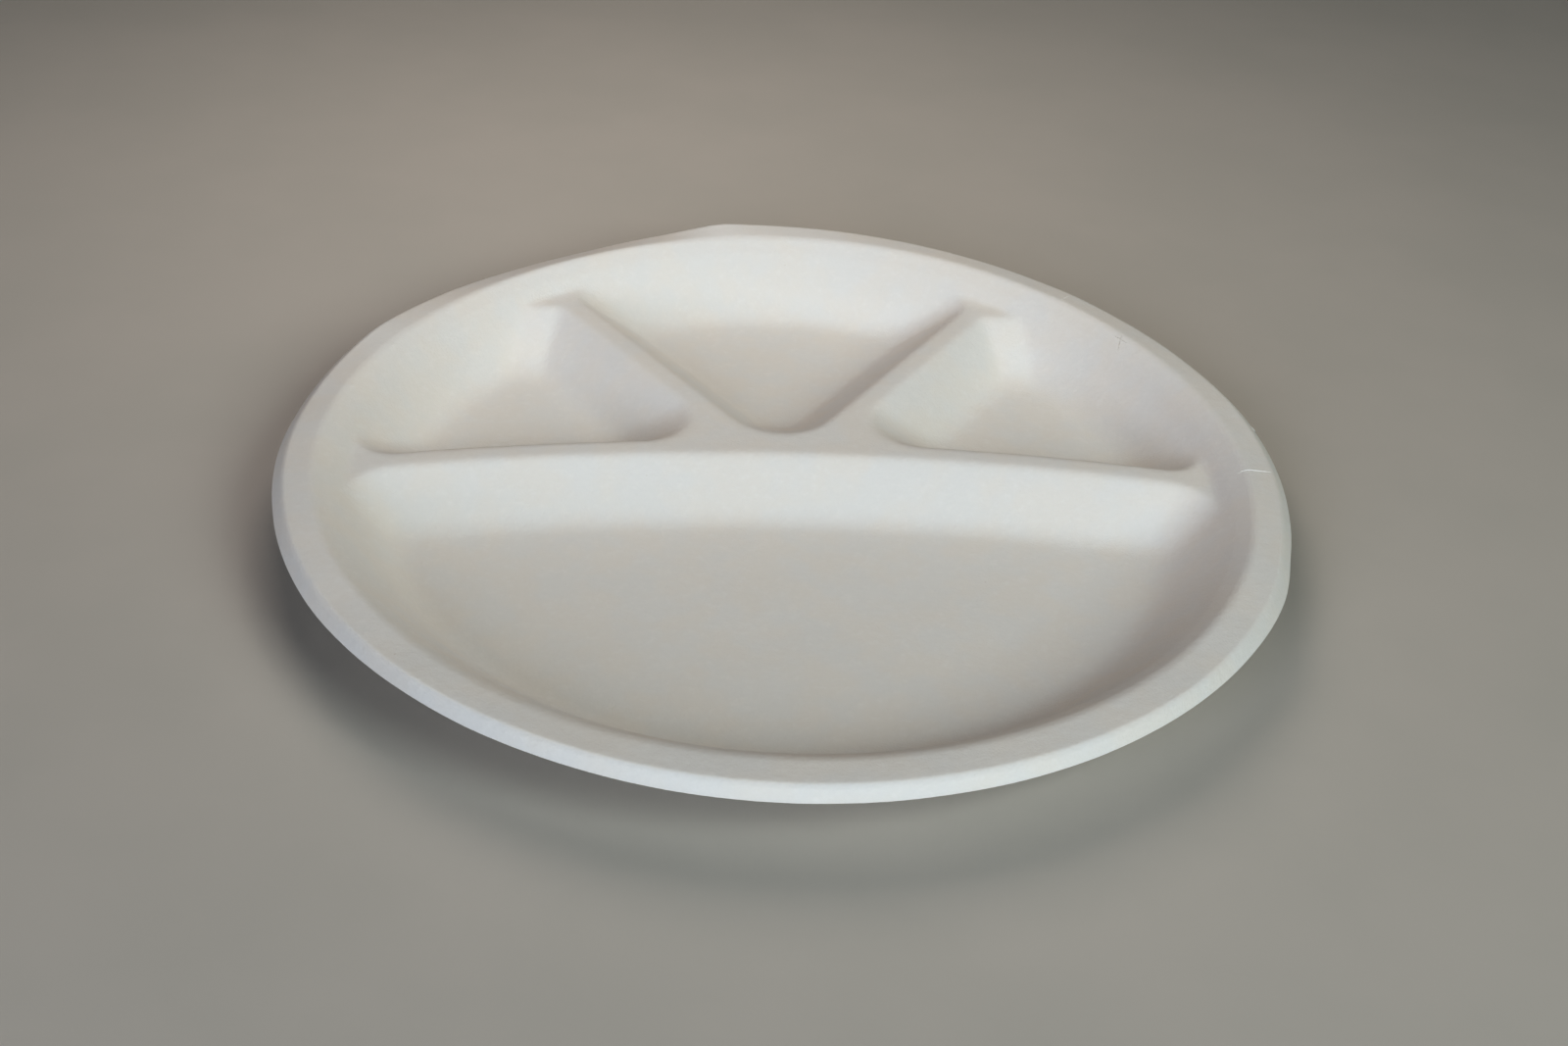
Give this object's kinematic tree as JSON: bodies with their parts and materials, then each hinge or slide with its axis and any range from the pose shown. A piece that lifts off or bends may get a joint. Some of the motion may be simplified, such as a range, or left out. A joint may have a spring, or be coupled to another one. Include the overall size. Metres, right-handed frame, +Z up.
{
  "type": "paper plate",
  "caption": "Round moulded-fibre plate with a wide front pocket and smaller pockets behind it, divided by low hollow ridges, with a flared rim and a turned-down lip.",
  "frame": {"origin": "on the table, under the middle of the plate", "axes": "+Z up; +Y from the wide pocket towards the small ones; +X to the right, seen from the wide pocket"},
  "size_m": [0.26, 0.26, 0.0183],
  "materials": {
    "pulp": "matt, unglazed and slightly fibrous moulded plant fibre, off-white"
  },
  "bodies": {
    "root": {"plate": "pulp"}
  },
  "joints": []
}
